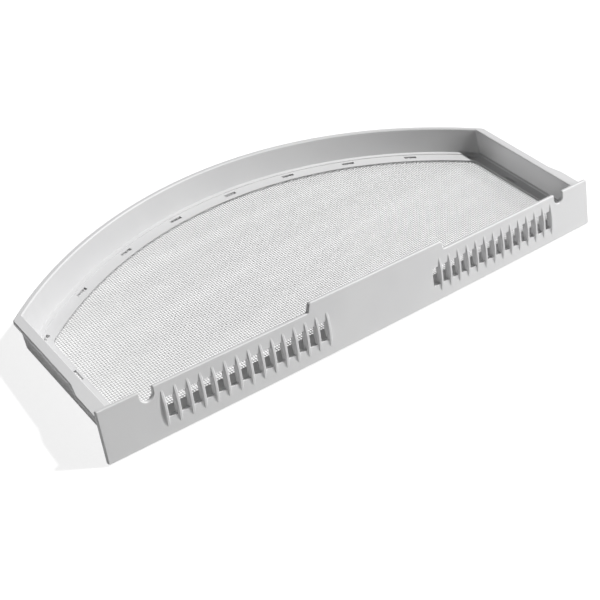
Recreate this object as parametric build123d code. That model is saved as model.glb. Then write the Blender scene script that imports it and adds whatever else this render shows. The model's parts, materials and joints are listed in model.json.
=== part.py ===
from build123d import *
from math import asin, atan2, cos, degrees, floor, radians, sin, sqrt, tan
import os

# Tumble dryer lint filter: a half-moon tray moulded in one piece with its ribbed front panel, and a woven
# screen across the bottom of the tray, whose edge is moulded into the tray's ledge. Slots along the ledge,
# where the mould held the screen, show the weave again.
# It is modelled with the tray level and the panel's top edge at the origin, X along the panel, Y to the
# back and Z up, and turned at the end so that it stands on z = 0 as it comes to rest on a table.

# Front panel
panel_length = 402.0
panel_height = 33.5
panel_thickness = 2.8
panel_bow = 2.0
panel_lean = 18.3
panel_corner = 1.2
top_corner = 1.0
panel_chamfer = 0.6
grip_length = 113.5
grip_height = 6.0
grip_slope = 2.0
grip_corner = 2.0
notch_width = 8.6
notch_depth = 7.5
notch_from_end = 31.0

# Ribbed grille, one group on each side of the panel
window_count = 14
left_rib_count = 15
right_rib_count = 14
rib_pitch = 8.4
rib_thickness = 2.6
rib_bevel = 0.65
rib_height = 23.3
rib_projection = 1.25
rib_top_drop = 4.4
rib_from_end = 40.0
window_height = 12.7
window_top_drop = 9.8

# Tray walls and rim
rim_drop = 4.7
tray_reach = 172.2
end_wall_length = 98.7
wall_height = 16.2
wall_thickness = 3.2
wall_corner = 1.5
wall_root = 0.3
arc_taper = 2.4
rim_from_panel_end = 2.5
rim_width = 7.0
rim_thickness = 2.0
rim_corner = 4.0
rim_chamfer = 0.6
foot_chamfer = 0.5
rim_flare_length = 32.0
rim_flare_run = 10.0

# Ledge that carries the screen
ledge_thickness = 2.5
ledge_width = 11.3
end_ledge_width = 10.7
front_ledge_width = 5.3
ledge_corner = 8.0
ledge_margin = 3.0
ledge_step = 0.4
ledge_lip = 0.75
ledge_slot_length = 9.5
ledge_slot_width = 2.4
ledge_slot_from_edge = 4.9
ledge_slots_each_side = 4
end_slot_from_edge = 2.4
end_slot_reach = 52.0

# Woven screen
thread_pitch = 1.75
thread_diameter = 0.55
screen_thickness = 0.6
screen_overlap = 7.5
screen_front_overlap = 4.0
screen_clearance = 0.1

# Levels and lines that follow from the sizes above
lean = radians(panel_lean)
half_length = panel_length / 2
panel_depth = panel_thickness / cos(lean)
rim_z = -rim_drop
ledge_z = rim_z - wall_height
under_z = ledge_z - ledge_thickness
screen_z = ledge_z - ledge_step - ledge_lip
rim_half = half_length - rim_from_panel_end
wall_half = rim_half - rim_width
rim_rise = tray_reach - end_wall_length
rim_radius = (rim_half**2 + rim_rise**2) / (2 * rim_rise)
slot_x = wall_half - end_ledge_width + end_slot_from_edge
slot_radius = rim_radius - wall_thickness - arc_taper - ledge_width + ledge_slot_from_edge
draw = Plane(origin=(0, 0, 0), x_dir=(1, 0, 0), z_dir=(0, sin(lean), cos(lean)))


def face_y(x):
    """The front face of the bowed panel at x, before it leans."""
    return -panel_bow * (1 - (x / half_length) ** 2)


def panel_back_y(z):
    """The inner face of the panel at its ends, at a level of the tray."""
    return panel_depth + z * tan(lean)


def arc_centre_y(z):
    """The centre of the back wall's arc. The walls rise along the panel, so it moves with the level."""
    return tray_reach - rim_radius + (z - rim_z) * tan(lean)


def arc_radius(z, inset):
    return rim_radius - inset - arc_taper * (rim_z - z) / wall_height


def half_moon(half_width, radius, centre_y, front_y, corner=0.0):
    """A straight front, two straight ends and an arc at the back."""
    corner_y = centre_y + sqrt(radius**2 - half_width**2)
    arc = ThreePointArc((half_width, corner_y), (0, centre_y + radius), (-half_width, corner_y))
    sides = Polyline((-half_width, corner_y), (-half_width, front_y), (half_width, front_y),
                     (half_width, corner_y))
    moon = make_face(Curve() + [arc, sides])
    if corner:
        moon = fillet(moon.vertices().group_by(Axis.Y)[-1], corner)
    return moon


def wall_section(z, end_x, inset, grown=0.0):
    """The outline of a wall face at one level, grown where a bevel widens it."""
    front_y = panel_back_y(z) - panel_depth
    radius = arc_radius(z, inset) + grown
    return Pos(0, 0, z) * half_moon(end_x + grown, radius, arc_centre_y(z), front_y, wall_corner)


def opening(outset, front_outset=None):
    """The opening inside the ledge, grown outwards, by less at the front where that is given."""
    if front_outset is None:
        front_outset = outset
    half_width = wall_half - end_ledge_width + outset
    radius = arc_radius(ledge_z, wall_thickness) - ledge_width + outset
    front_y = panel_back_y(ledge_z) + front_ledge_width - front_outset
    return half_moon(half_width, radius, arc_centre_y(ledge_z), front_y, max(ledge_corner + outset, 0))


def plate(outline, top, thickness):
    return extrude(Pos(0, 0, top - thickness) * outline, thickness)


def slot_places():
    """Where the ledge's slots lie: evenly along the arc from corner to corner, and one on each end."""
    centre = Pos(0, arc_centre_y(ledge_z))
    spacing = degrees(asin(slot_x / slot_radius)) / ledge_slots_each_side
    steps = range(-ledge_slots_each_side, ledge_slots_each_side + 1)
    along_arc = [centre * Rot(0, 0, -step * spacing) * Pos(0, slot_radius) for step in steps]
    on_ends = [Pos(side * slot_x, end_slot_reach) * Rot(0, 0, 90) for side in (-1, 1)]
    return along_arc + on_ends


# Front panel: a bowed strip cut to the panel's front outline
def panel_outline():
    base = grip_length / 2
    top = base - grip_slope
    body = Pos(0, -panel_height / 2) * Rectangle(panel_length, panel_height)
    grip = make_face(Polyline((-base, -grip_height), (-base, 0), (-top, grip_height), (top, grip_height),
                              (base, 0), (base, -grip_height), close=True))
    notch_x = half_length - notch_from_end
    notch = SlotOverall(2 * notch_depth, notch_width, rotation=90)
    outline = body + grip - [Pos(side * notch_x, 0) * notch for side in (-1, 1)]
    rounds = [(-panel_height, panel_corner), (0, top_corner), (grip_height, grip_corner)]
    for level, radius in rounds:
        outline = fillet(outline.vertices().filter_by_position(Axis.Y, level - 0.01, level + 0.01), radius)
    return outline


def front_panel():
    front = ThreePointArc((-half_length, 0), (0, -panel_bow), (half_length, 0))
    back = Pos(0, panel_thickness) * front
    ends = [Line(front @ 0, back @ 0), Line(front @ 1, back @ 1)]
    strip = make_face(Curve() + [front, back] + ends)
    strip = extrude(Pos(0, 0, -panel_height) * strip, panel_height + grip_height)
    panel = strip & extrude(Plane.XZ * panel_outline(), panel_bow + panel_thickness, both=True)
    for broad_face in (0, 1):
        faces = panel.faces().sort_by(SortBy.AREA)[-2:].sort_by(Axis.Y)
        panel = chamfer(faces[broad_face].edges(), panel_chamfer)

    first = half_length - rib_from_end
    window = Box(rib_pitch - rib_thickness, 2 * (panel_bow + panel_thickness), window_height)
    window_z = -window_top_drop - window_height / 2
    for side, rib_count in ((-1, left_rib_count), (1, right_rib_count)):
        ribs = [side * (first - step * rib_pitch) for step in range(rib_count)]
        windows = [side * (first - (step + 0.5) * rib_pitch) for step in range(window_count)]
        panel -= [Pos(x, 0, window_z) * window for x in windows]
        panel += [Pos(x, face_y(x)) * grille_rib() for x in ribs]
    return panel


def grille_rib():
    """A fin with a bevelled front, turned about a far axis so that it rises from the panel and dips back."""
    half, root, front = rib_thickness / 2, panel_thickness / 3, -rib_projection
    section = make_face(Polyline((-half, root), (-half, front + rib_bevel), (rib_bevel - half, front),
                                 (half - rib_bevel, front), (half, front + rib_bevel), (half, root),
                                 close=True))
    reach = (rib_height**2 / 4 + rib_projection**2) / (2 * rib_projection)
    far_axis = Axis((0, front + reach, 0), (1, 0, 0))
    half_turn = degrees(asin(rib_height / 2 / reach))
    fin = revolve(section.rotate(far_axis, -half_turn), far_axis, 2 * half_turn)
    return Pos(0, 0, -rib_top_drop - rib_height / 2) * fin


# Tray: walls that rise along the panel, a broad rim on the ends, and the ledge with its slots
def rim_plate():
    front_y = panel_back_y(rim_z) - panel_depth
    flare_y = rim_flare_length - rim_flare_run
    rim = half_moon(rim_half, rim_radius, arc_centre_y(rim_z), front_y, rim_corner)
    for side in (-1, 1):
        inner, edge, end = side * wall_half, side * rim_half, side * half_length
        flare = Polyline((inner, front_y), (end, front_y), (end, flare_y), (edge, rim_flare_length),
                         (inner, rim_flare_length), close=True)
        rim += make_face(flare)
    rim = plate(rim, rim_z, rim_thickness)
    return chamfer(rim.edges().group_by(Axis.Z)[-1], rim_chamfer)


def wall_outside():
    """The solid inside the walls' outer faces, bevelled at the foot, that ends in the rim."""
    end_x = wall_half + wall_thickness
    foot = wall_section(under_z, end_x, 0, -foot_chamfer)
    bevel = wall_section(under_z + foot_chamfer, end_x, 0)
    top = wall_section(rim_z - rim_thickness / 2, end_x, 0)
    return loft([foot, bevel, top], ruled=True)


def wall_inside():
    """The hollow inside the walls, bevelled where it opens at the rim."""
    floor_level = wall_section(ledge_z, wall_half, wall_thickness)
    bevel = wall_section(rim_z - rim_chamfer, wall_half, wall_thickness)
    top = wall_section(rim_z + rim_chamfer, wall_half, wall_thickness, 2 * rim_chamfer)
    return loft([floor_level, bevel, top], ruled=True)


def tray():
    body = wall_outside() + rim_plate() - wall_inside()
    margin = opening(ledge_width - ledge_margin)
    body -= plate(margin, ledge_z, ledge_step)
    body -= plate(opening(0), ledge_z, wall_height)
    body -= plate(opening(screen_overlap, screen_front_overlap), screen_z, screen_thickness)
    slot = Rectangle(ledge_slot_length, ledge_slot_width)
    body -= [place * plate(slot, ledge_z, wall_height) for place in slot_places()]
    return body


def behind_panel():
    """All that lies behind the panel, and a little of its thickness for the walls to root in."""
    root = panel_thickness - wall_root
    end_y = face_y(panel_length) + root
    arc = ThreePointArc((-panel_length, end_y), (0, face_y(0) + root), (panel_length, end_y))
    far = 2 * tray_reach
    back = Polyline(arc @ 1, (panel_length, far), (-panel_length, far), arc @ 0)
    return draw * extrude(make_face(Curve() + [arc, back]), panel_length, both=True)


filter_frame = draw * front_panel() + (tray() & behind_panel())


# Woven screen: one thin sheet held in the ledge's groove, open between the threads along the panel
def mesh_screen():
    outline = opening(screen_overlap - screen_clearance, screen_front_overlap - screen_clearance)
    sheet = plate(outline, screen_z, screen_thickness)
    front = panel_back_y(ledge_z) + front_ledge_width
    back = arc_centre_y(ledge_z) + arc_radius(ledge_z, wall_thickness) - ledge_width
    rows = floor((back - front) / thread_pitch)
    gap = Box(panel_length, thread_pitch - thread_diameter, 3 * screen_thickness)
    gaps = [Pos(0, front + (row + 0.5) * thread_pitch, screen_z) * gap for row in range(rows)]
    inside = plate(opening(-thread_diameter), screen_z + screen_thickness, 3 * screen_thickness)
    return sheet - [inside & gap for gap in gaps]


# Rest: the part stands on the foot of the panel's ends and on the foot of the back wall
def rest_turn():
    """How far the part tips back until both touch the table, inside their chamfers."""
    foot_in = panel_thickness - panel_chamfer
    foot_y = foot_in * cos(lean) - panel_height * sin(lean)
    foot_z = -foot_in * sin(lean) - panel_height * cos(lean)
    back_y = arc_centre_y(under_z) + arc_radius(under_z, 0) - foot_chamfer
    return degrees(atan2(under_z - foot_z, back_y - foot_y))


names = ("filter_frame", "mesh_screen")
turned = [Rot(-rest_turn(), 0, 0) * piece for piece in (filter_frame, mesh_screen())]
box = Compound(turned).bounding_box()
os.makedirs("parts", exist_ok=True)
for name, piece in zip(names, turned):
    export_step(Pos(0, -box.center().Y, -box.min.Z) * piece, f"parts/{name}.step")
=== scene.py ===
import bpy
import json
from math import atan2, ceil, radians
from mathutils import Matrix, Vector


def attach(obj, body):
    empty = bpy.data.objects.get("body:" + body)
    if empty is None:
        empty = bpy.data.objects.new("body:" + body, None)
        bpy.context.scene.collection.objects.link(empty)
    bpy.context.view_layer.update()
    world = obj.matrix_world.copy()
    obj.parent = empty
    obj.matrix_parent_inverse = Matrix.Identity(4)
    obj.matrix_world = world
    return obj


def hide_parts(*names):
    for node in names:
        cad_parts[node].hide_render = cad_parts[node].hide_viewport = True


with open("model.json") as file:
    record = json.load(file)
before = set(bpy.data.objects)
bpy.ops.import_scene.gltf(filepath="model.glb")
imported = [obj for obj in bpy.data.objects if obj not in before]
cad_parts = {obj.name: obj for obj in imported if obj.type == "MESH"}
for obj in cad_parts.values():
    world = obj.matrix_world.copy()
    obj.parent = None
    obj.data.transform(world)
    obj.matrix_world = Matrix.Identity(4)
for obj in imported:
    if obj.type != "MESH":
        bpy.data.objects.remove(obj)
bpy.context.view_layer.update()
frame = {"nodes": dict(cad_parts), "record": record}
scene = bpy.context.scene
scene.view_settings.view_transform = "Standard"

# Filter frame
# The half-moon tray and its ribbed front panel are one moulding of white polypropylene. It comes from the
# mould with a satin skin: a fine even grain, and broad, hardly visible clouds where the plastic flowed.
frame_white = (0.74, 0.74, 0.74, 1)
frame_cloud = (0.695, 0.695, 0.70, 1)
frame_grain_per_metre = 2600
frame_clouds_per_metre = 14
frame_roughness = (0.42, 0.58)
plastic_ior = 1.49
grain_depth = 0.00008
grain_strength = 0.25


def add_node(tree, kind, inputs=None, **settings):
    """A node with its settings, and its inputs given as values or as sockets to link."""
    made = tree.nodes.new(kind)
    for name, value in settings.items():
        setattr(made, name, value)
    for name, value in (inputs or {}).items():
        if isinstance(value, bpy.types.NodeSocket):
            tree.links.new(value, made.inputs[name])
        else:
            made.inputs[name].default_value = value
    return made


def make_moulded_skin():
    """The skin that a satin mould leaves: a fine grain, and the clouds of the flowing plastic."""
    skin = bpy.data.node_groups.new("moulded_skin", "ShaderNodeTree")
    skin.interface.new_socket("Position", in_out="INPUT", socket_type="NodeSocketVector")
    for name in ("Grain Scale", "Cloud Scale"):
        skin.interface.new_socket(name, in_out="INPUT", socket_type="NodeSocketFloat")
    for name in ("Grain", "Cloud"):
        skin.interface.new_socket(name, in_out="OUTPUT", socket_type="NodeSocketFloat")
    given = add_node(skin, "NodeGroupInput").outputs
    grain = add_node(skin, "ShaderNodeTexNoise", {
        "Vector": given["Position"], "Scale": given["Grain Scale"], "Detail": 3.0, "Roughness": 0.6})
    cloud = add_node(skin, "ShaderNodeTexNoise", {
        "Vector": given["Position"], "Scale": given["Cloud Scale"], "Detail": 2.0, "Distortion": 0.6})
    spread = add_node(skin, "ShaderNodeMapRange", {
        "Value": cloud.outputs[0], "From Min": 0.3, "From Max": 0.7})
    add_node(skin, "NodeGroupOutput", {"Grain": grain.outputs[0], "Cloud": spread.outputs[0]})
    return skin


moulded_skin = make_moulded_skin()


def make_plastic(name, white, cloud, grain_scale, cloud_scale, roughness):
    """A moulded plastic whose colour, roughness and bump come from its skin."""
    plastic = bpy.data.materials.new(name)
    plastic.use_nodes = True
    tree = plastic.node_tree
    shader = tree.nodes["Principled BSDF"]
    place = add_node(tree, "ShaderNodeTexCoord").outputs["Object"]
    skin = add_node(tree, "ShaderNodeGroup", node_tree=moulded_skin)
    tree.links.new(place, skin.inputs["Position"])
    skin.inputs["Grain Scale"].default_value = grain_scale
    skin.inputs["Cloud Scale"].default_value = cloud_scale
    tint = add_node(tree, "ShaderNodeMix", {"Factor": skin.outputs["Cloud"]}, data_type="RGBA")
    first_colour, second_colour, mixed_colour = tint.inputs[6], tint.inputs[7], tint.outputs[2]
    first_colour.default_value = white
    second_colour.default_value = cloud
    tree.links.new(mixed_colour, shader.inputs["Base Color"])
    rough = add_node(tree, "ShaderNodeMapRange", {
        "Value": skin.outputs["Grain"], "To Min": roughness[0], "To Max": roughness[1]})
    tree.links.new(rough.outputs[0], shader.inputs["Roughness"])
    bump = add_node(tree, "ShaderNodeBump", {
        "Height": skin.outputs["Grain"], "Strength": grain_strength, "Distance": grain_depth})
    tree.links.new(bump.outputs[0], shader.inputs["Normal"])
    shader.inputs["IOR"].default_value = plastic_ior
    return plastic


frame_plastic = make_plastic("frame_plastic", frame_white, frame_cloud, frame_grain_per_metre,
                             frame_clouds_per_metre, frame_roughness)
filter_frame = frame["nodes"]["filter_frame"]
filter_frame.data.materials.clear()
filter_frame.data.materials.append(frame_plastic)

# Woven screen
# A plain weave of white polyamide monofilament, each thread going over and under the threads that cross it.
# Its edge is moulded into the groove of the tray's ledge, and the ledge's slots show it again.
thread_pitch = 0.00175
thread_diameter = 0.00055
weave_thickness = 0.0009
thread_white = (0.80, 0.80, 0.80, 1)
thread_shade = (0.74, 0.74, 0.745, 1)
thread_grain_per_metre = 5000
thread_clouds_per_metre = 90
thread_roughness = (0.2, 0.3)

# Places on the level tray, from the middle of the panel's top edge
opening_half_width = 0.1808
opening_arc_radius = 0.28789
opening_arc_centre_y = -0.13795
opening_front_y = 0.00134
screen_middle_z = -0.02235
slot_arc_radius = 0.29279
slot_end_x = 0.1832
slot_end_y = 0.052
slot_step_angle = radians(9.684)
slot_length = 0.0095
slot_width = 0.0024
seat_in_tray = Vector((0.188, 0.04, -0.0234))

# Threads enough to reach past the outermost slots
thread_columns = 2 * ceil((slot_end_x + slot_width / 2) / thread_pitch) + 1
thread_rows = ceil((opening_arc_centre_y + slot_arc_radius + slot_width / 2) / thread_pitch) + 1

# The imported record's seat on the ledge's underside gives the tray's tilt and place at rest
duct_seat = next(mount for mount in frame["record"]["mounts"] if mount["name"] == "duct_seat")
tray_tilt = atan2(duct_seat["axis"][1], -duct_seat["axis"][2])
tray_turn = Matrix.Rotation(tray_tilt, 3, "X")
tray_place = Vector(duct_seat["pos_m"]) - tray_turn @ seat_in_tray
screen_middle = tray_place + tray_turn @ Vector((0, 0, screen_middle_z))


def make_weave_tree():
    """Both sets of threads, cut to the opening and the slots, waved over and under, and given thickness."""
    tree = bpy.data.node_groups.new("plain_weave", "GeometryNodeTree")
    tree.interface.new_socket("Geometry", in_out="OUTPUT", socket_type="NodeSocketGeometry")
    floats = ("Pitch", "Thread Diameter", "Weave Thickness", "Half Width", "Arc Radius", "Arc Centre Y",
              "Front Y", "Slot Arc Radius", "Slot End X", "Slot End Y", "Slot Step Angle", "Slot Length",
              "Slot Width", "Tilt")
    for name in floats:
        tree.interface.new_socket(name, in_out="INPUT", socket_type="NodeSocketFloat")
    for name in ("Columns", "Rows"):
        tree.interface.new_socket(name, in_out="INPUT", socket_type="NodeSocketInt")
    tree.interface.new_socket("Place", in_out="INPUT", socket_type="NodeSocketVector")
    tree.interface.new_socket("Material", in_out="INPUT", socket_type="NodeSocketMaterial")
    given = add_node(tree, "NodeGroupInput").outputs

    def calc(operation, first, second=0.0, third=0.0):
        made = add_node(tree, "ShaderNodeMath", {0: first, 1: second, 2: third}, operation=operation)
        return made.outputs[0]

    def both(first, second):
        return calc("MULTIPLY", first, second)

    def vector(x=0.0, y=0.0, z=0.0):
        return add_node(tree, "ShaderNodeCombineXYZ", {0: x, 1: y, 2: z}).outputs[0]

    pitch = given["Pitch"]
    position = add_node(tree, "GeometryNodeInputPosition").outputs[0]
    split = add_node(tree, "ShaderNodeSeparateXYZ", {0: position})
    x, y = split.outputs[0], split.outputs[1]
    side_x = calc("ABSOLUTE", x)
    from_centre = calc("SUBTRACT", y, given["Arc Centre Y"])
    squares = calc("ADD", calc("MULTIPLY", x, x), calc("MULTIPLY", from_centre, from_centre))
    radius = calc("SQRT", squares)

    # In the opening, and one pitch into the groove so that every thread ends inside the ledge
    in_sides = calc("LESS_THAN", side_x, calc("ADD", given["Half Width"], pitch))
    in_arc = calc("LESS_THAN", radius, calc("ADD", given["Arc Radius"], pitch))
    in_front = calc("GREATER_THAN", y, calc("SUBTRACT", given["Front Y"], pitch))
    in_opening = both(both(in_sides, in_arc), in_front)

    # Under the slots along the arc, and under the one on each end
    past_slot = calc("MULTIPLY", pitch, 0.6)
    half_length = calc("MULTIPLY_ADD", given["Slot Length"], 0.5, past_slot)
    half_width = calc("MULTIPLY_ADD", given["Slot Width"], 0.5, past_slot)
    half_step = calc("MULTIPLY", given["Slot Step Angle"], 0.5)
    bearing = calc("ARCTAN2", x, from_centre)
    off_slot = calc("WRAP", bearing, half_step, calc("MULTIPLY", half_step, -1.0))
    along = calc("MULTIPLY", calc("ABSOLUTE", off_slot), given["Slot Arc Radius"])
    across = calc("ABSOLUTE", calc("SUBTRACT", radius, given["Slot Arc Radius"]))
    on_arc = both(calc("LESS_THAN", along, half_length), calc("LESS_THAN", across, half_width))
    end_along = calc("ABSOLUTE", calc("SUBTRACT", y, given["Slot End Y"]))
    end_across = calc("ABSOLUTE", calc("SUBTRACT", side_x, given["Slot End X"]))
    on_end = both(calc("LESS_THAN", end_along, half_length), calc("LESS_THAN", end_across, half_width))
    shown = calc("MAXIMUM", in_opening, calc("MAXIMUM", on_arc, on_end))
    hidden = calc("LESS_THAN", shown, 0.5)

    # Over at one crossing and under at the next
    crossing = calc("ROUND", calc("DIVIDE", calc("ADD", x, y), pitch))
    odd_crossing = calc("FLOORED_MODULO", crossing, 2.0)
    over = calc("SUBTRACT", calc("MULTIPLY", odd_crossing, 2.0), 1.0)
    slack = calc("SUBTRACT", given["Weave Thickness"], given["Thread Diameter"])
    swing = calc("MULTIPLY", slack, 0.5)
    thread_section = add_node(tree, "GeometryNodeCurvePrimitiveCircle", {
        "Resolution": 3, "Radius": calc("MULTIPLY", given["Thread Diameter"], 0.5)})

    def threads(along_count, along_step, along_start, across_count, across_step, across_start, first_over):
        run = add_node(tree, "GeometryNodeMeshLine", {
            "Count": along_count, "Start Location": along_start, "Offset": along_step})
        places = add_node(tree, "GeometryNodeMeshLine", {
            "Count": across_count, "Start Location": across_start, "Offset": across_step})
        copies = add_node(tree, "GeometryNodeInstanceOnPoints", {
            "Points": places.outputs[0], "Instance": run.outputs[0]})
        runs = add_node(tree, "GeometryNodeRealizeInstances", {"Geometry": copies.outputs[0]})
        cut = add_node(tree, "GeometryNodeDeleteGeometry", {
            "Geometry": runs.outputs[0], "Selection": hidden})
        lift = calc("MULTIPLY", calc("MULTIPLY", over, swing), first_over)
        waved = add_node(tree, "GeometryNodeSetPosition", {
            "Geometry": cut.outputs[0], "Offset": vector(z=lift)})
        lines = add_node(tree, "GeometryNodeMeshToCurve", {"Mesh": waved.outputs[0]})
        return add_node(tree, "GeometryNodeCurveToMesh", {
            "Curve": lines.outputs[0], "Profile Curve": thread_section.outputs[0],
            "Fill Caps": True}).outputs[0]

    columns, rows = given["Columns"], given["Rows"]
    left_columns = calc("FLOOR", calc("MULTIPLY", columns, 0.5))
    start_x = calc("MULTIPLY", left_columns, calc("MULTIPLY", pitch, -1.0))
    x_step, x_start = vector(x=pitch), vector(x=start_x)
    y_step, y_start = vector(y=pitch), vector()
    weft = threads(columns, x_step, x_start, rows, y_step, y_start, 1.0)
    warp = threads(rows, y_step, y_start, columns, x_step, x_start, -1.0)
    cloth = add_node(tree, "GeometryNodeJoinGeometry")
    for set_of_threads in (weft, warp):
        tree.links.new(set_of_threads, cloth.inputs[0])
    smooth = add_node(tree, "GeometryNodeSetShadeSmooth", {"Geometry": cloth.outputs[0]})
    placed = add_node(tree, "GeometryNodeTransform", {
        "Geometry": smooth.outputs[0], "Translation": given["Place"], "Rotation": vector(x=given["Tilt"])})
    real = add_node(tree, "GeometryNodeRealizeInstances", {"Geometry": placed.outputs[0]})
    painted = add_node(tree, "GeometryNodeSetMaterial", {
        "Geometry": real.outputs[0], "Material": given["Material"]})
    add_node(tree, "NodeGroupOutput", {"Geometry": painted.outputs[0]})
    return tree


def make_by_nodes(name, tree, sizes):
    """The plain mesh that a tree gives, as an object at the origin."""
    maker = bpy.data.objects.new(name + "_maker", bpy.data.meshes.new(name + "_maker"))
    scene.collection.objects.link(maker)
    modifier = maker.modifiers.new("maker", "NODES")
    modifier.node_group = tree
    sockets = {item.name: item.identifier for item in tree.interface.items_tree if item.in_out == "INPUT"}
    for label, value in sizes.items():
        modifier[sockets[label]] = value
    made = maker.evaluated_get(bpy.context.evaluated_depsgraph_get())
    piece = bpy.data.objects.new(name, bpy.data.meshes.new_from_object(made))
    bpy.data.objects.remove(maker)
    scene.collection.objects.link(piece)
    return piece


thread_plastic = make_plastic("thread_plastic", thread_white, thread_shade, thread_grain_per_metre,
                              thread_clouds_per_metre, thread_roughness)
woven_screen = make_by_nodes("woven_screen", make_weave_tree(), {
    "Pitch": thread_pitch,
    "Thread Diameter": thread_diameter,
    "Weave Thickness": weave_thickness,
    "Half Width": opening_half_width,
    "Arc Radius": opening_arc_radius,
    "Arc Centre Y": opening_arc_centre_y,
    "Front Y": opening_front_y,
    "Slot Arc Radius": slot_arc_radius,
    "Slot End X": slot_end_x,
    "Slot End Y": slot_end_y,
    "Slot Step Angle": slot_step_angle,
    "Slot Length": slot_length,
    "Slot Width": slot_width,
    "Tilt": tray_tilt,
    "Columns": thread_columns,
    "Rows": thread_rows,
    "Place": screen_middle,
    "Material": thread_plastic,
})
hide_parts("mesh_screen")
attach(woven_screen, "root")

# Table and backdrop
# A broad white table under the filter, in front of a white backdrop. The camera and reflections see both
# as white, with the filter's soft shadow on the table, while their light on the filter stays plain.
table_size = 4.0
table_drop = 0.0002
table_white = (0.8, 0.8, 0.8, 1)
table_seen = (0.3, 0.3, 0.3, 1)
table_glow = 0.86
backdrop_white = (1, 1, 1, 1)
backdrop_light = 0.015
backdrop_seen = 1.0


def show_to_camera(tree, output_kind, unseen, seen):
    """Ends a tree with one shader for the light on the filter, and one that camera and reflections see."""
    rays = add_node(tree, "ShaderNodeLightPath").outputs
    sight = rays["Is Camera Ray"]
    for kind in ("Is Glossy Ray", "Is Transmission Ray"):
        sight = add_node(tree, "ShaderNodeMath", {0: sight, 1: rays[kind]}, operation="MAXIMUM").outputs[0]
    choice = add_node(tree, "ShaderNodeMixShader", {0: sight, 1: unseen.outputs[0], 2: seen.outputs[0]})
    add_node(tree, output_kind, {"Surface": choice.outputs[0]})


edge = table_size / 2
corners = [(-edge, -edge, 0), (edge, -edge, 0), (edge, edge, 0), (-edge, edge, 0)]
table_mesh = bpy.data.meshes.new("table")
table_mesh.from_pydata(corners, [], [(0, 1, 2, 3)])
table = bpy.data.objects.new("table", table_mesh)
table.location.z = -table_drop
scene.collection.objects.link(table)
table_paint = bpy.data.materials.new("table_paint")
table_paint.use_nodes = True
paint = table_paint.node_tree
paint.nodes.clear()
matt = add_node(paint, "ShaderNodeBsdfDiffuse", {"Color": table_white})
seen_matt = add_node(paint, "ShaderNodeBsdfDiffuse", {"Color": table_seen})
glow = add_node(paint, "ShaderNodeEmission", {"Color": backdrop_white, "Strength": table_glow})
seen_table = add_node(paint, "ShaderNodeAddShader", {0: seen_matt.outputs[0], 1: glow.outputs[0]})
show_to_camera(paint, "ShaderNodeOutputMaterial", matt, seen_table)
table_mesh.materials.append(table_paint)

backdrop = bpy.data.worlds.new("backdrop")
scene.world = backdrop
backdrop.use_nodes = True
sky = backdrop.node_tree
sky.nodes.clear()
dim = add_node(sky, "ShaderNodeBackground", {"Color": backdrop_white, "Strength": backdrop_light})
white = add_node(sky, "ShaderNodeBackground", {"Color": backdrop_white, "Strength": backdrop_seen})
show_to_camera(sky, "ShaderNodeOutputWorld", dim, white)

# Lamps
# A hard key lamp stands to the right, and a low, broad lamp in front lights the panel. A narrow lamp far
# to the left reaches over the tray and lights the inside of the right end wall.
key_direction = Vector((0.635, -0.045, 0.768))
key_strength = 3.24
key_angle = radians(4)
front_lamp_place = Vector((0.50, -0.50, 0.25))
front_lamp_aim = Vector((0, 0, 0.02))
front_lamp_size = (0.4, 0.2)
front_lamp_power = 1.48
side_lamp_place = Vector((-1.0, 0.0, 0.135))
side_lamp_aim = Vector((0.192, -0.035, 0.024))
side_lamp_cone = radians(4.8)
side_lamp_blend = 0.6
side_lamp_radius = 0.02
side_lamp_power = 14.0


def add_lamp(name, kind, power, place, aim, **settings):
    """A lamp that stands in its place and shines at its aim."""
    lamp = bpy.data.lights.new(name, kind)
    lamp.energy = power
    for label, value in settings.items():
        setattr(lamp, label, value)
    stand = bpy.data.objects.new(name, lamp)
    stand.location = place
    stand.rotation_euler = (place - aim).to_track_quat("Z", "Y").to_euler()
    scene.collection.objects.link(stand)


add_lamp("key_lamp", "SUN", key_strength, key_direction, Vector(), angle=key_angle)
add_lamp("front_lamp", "AREA", front_lamp_power, front_lamp_place, front_lamp_aim,
         shape="RECTANGLE", size=front_lamp_size[0], size_y=front_lamp_size[1])
add_lamp("side_lamp", "SPOT", side_lamp_power, side_lamp_place, side_lamp_aim,
         spot_size=side_lamp_cone, spot_blend=side_lamp_blend, shadow_soft_size=side_lamp_radius)

# Camera
# It looks down on the filter from the front left, with the panel nearest to it. Its place, turn and lens
# come from a fit to the edges of the filter.
camera_place = Vector((-0.39972, -0.44546, 0.47753))
camera_turn_degrees = (48.8618, -4.5888, -38.5980)
camera_lens = 67.483
camera_sensor = 36
camera_near = 0.01

camera = bpy.data.objects.new("camera", bpy.data.cameras.new("camera"))
camera.location = camera_place
camera.rotation_euler = [radians(angle) for angle in camera_turn_degrees]
camera.data.lens = camera_lens
camera.data.sensor_width = camera_sensor
camera.data.clip_start = camera_near
scene.collection.objects.link(camera)
scene.camera = camera
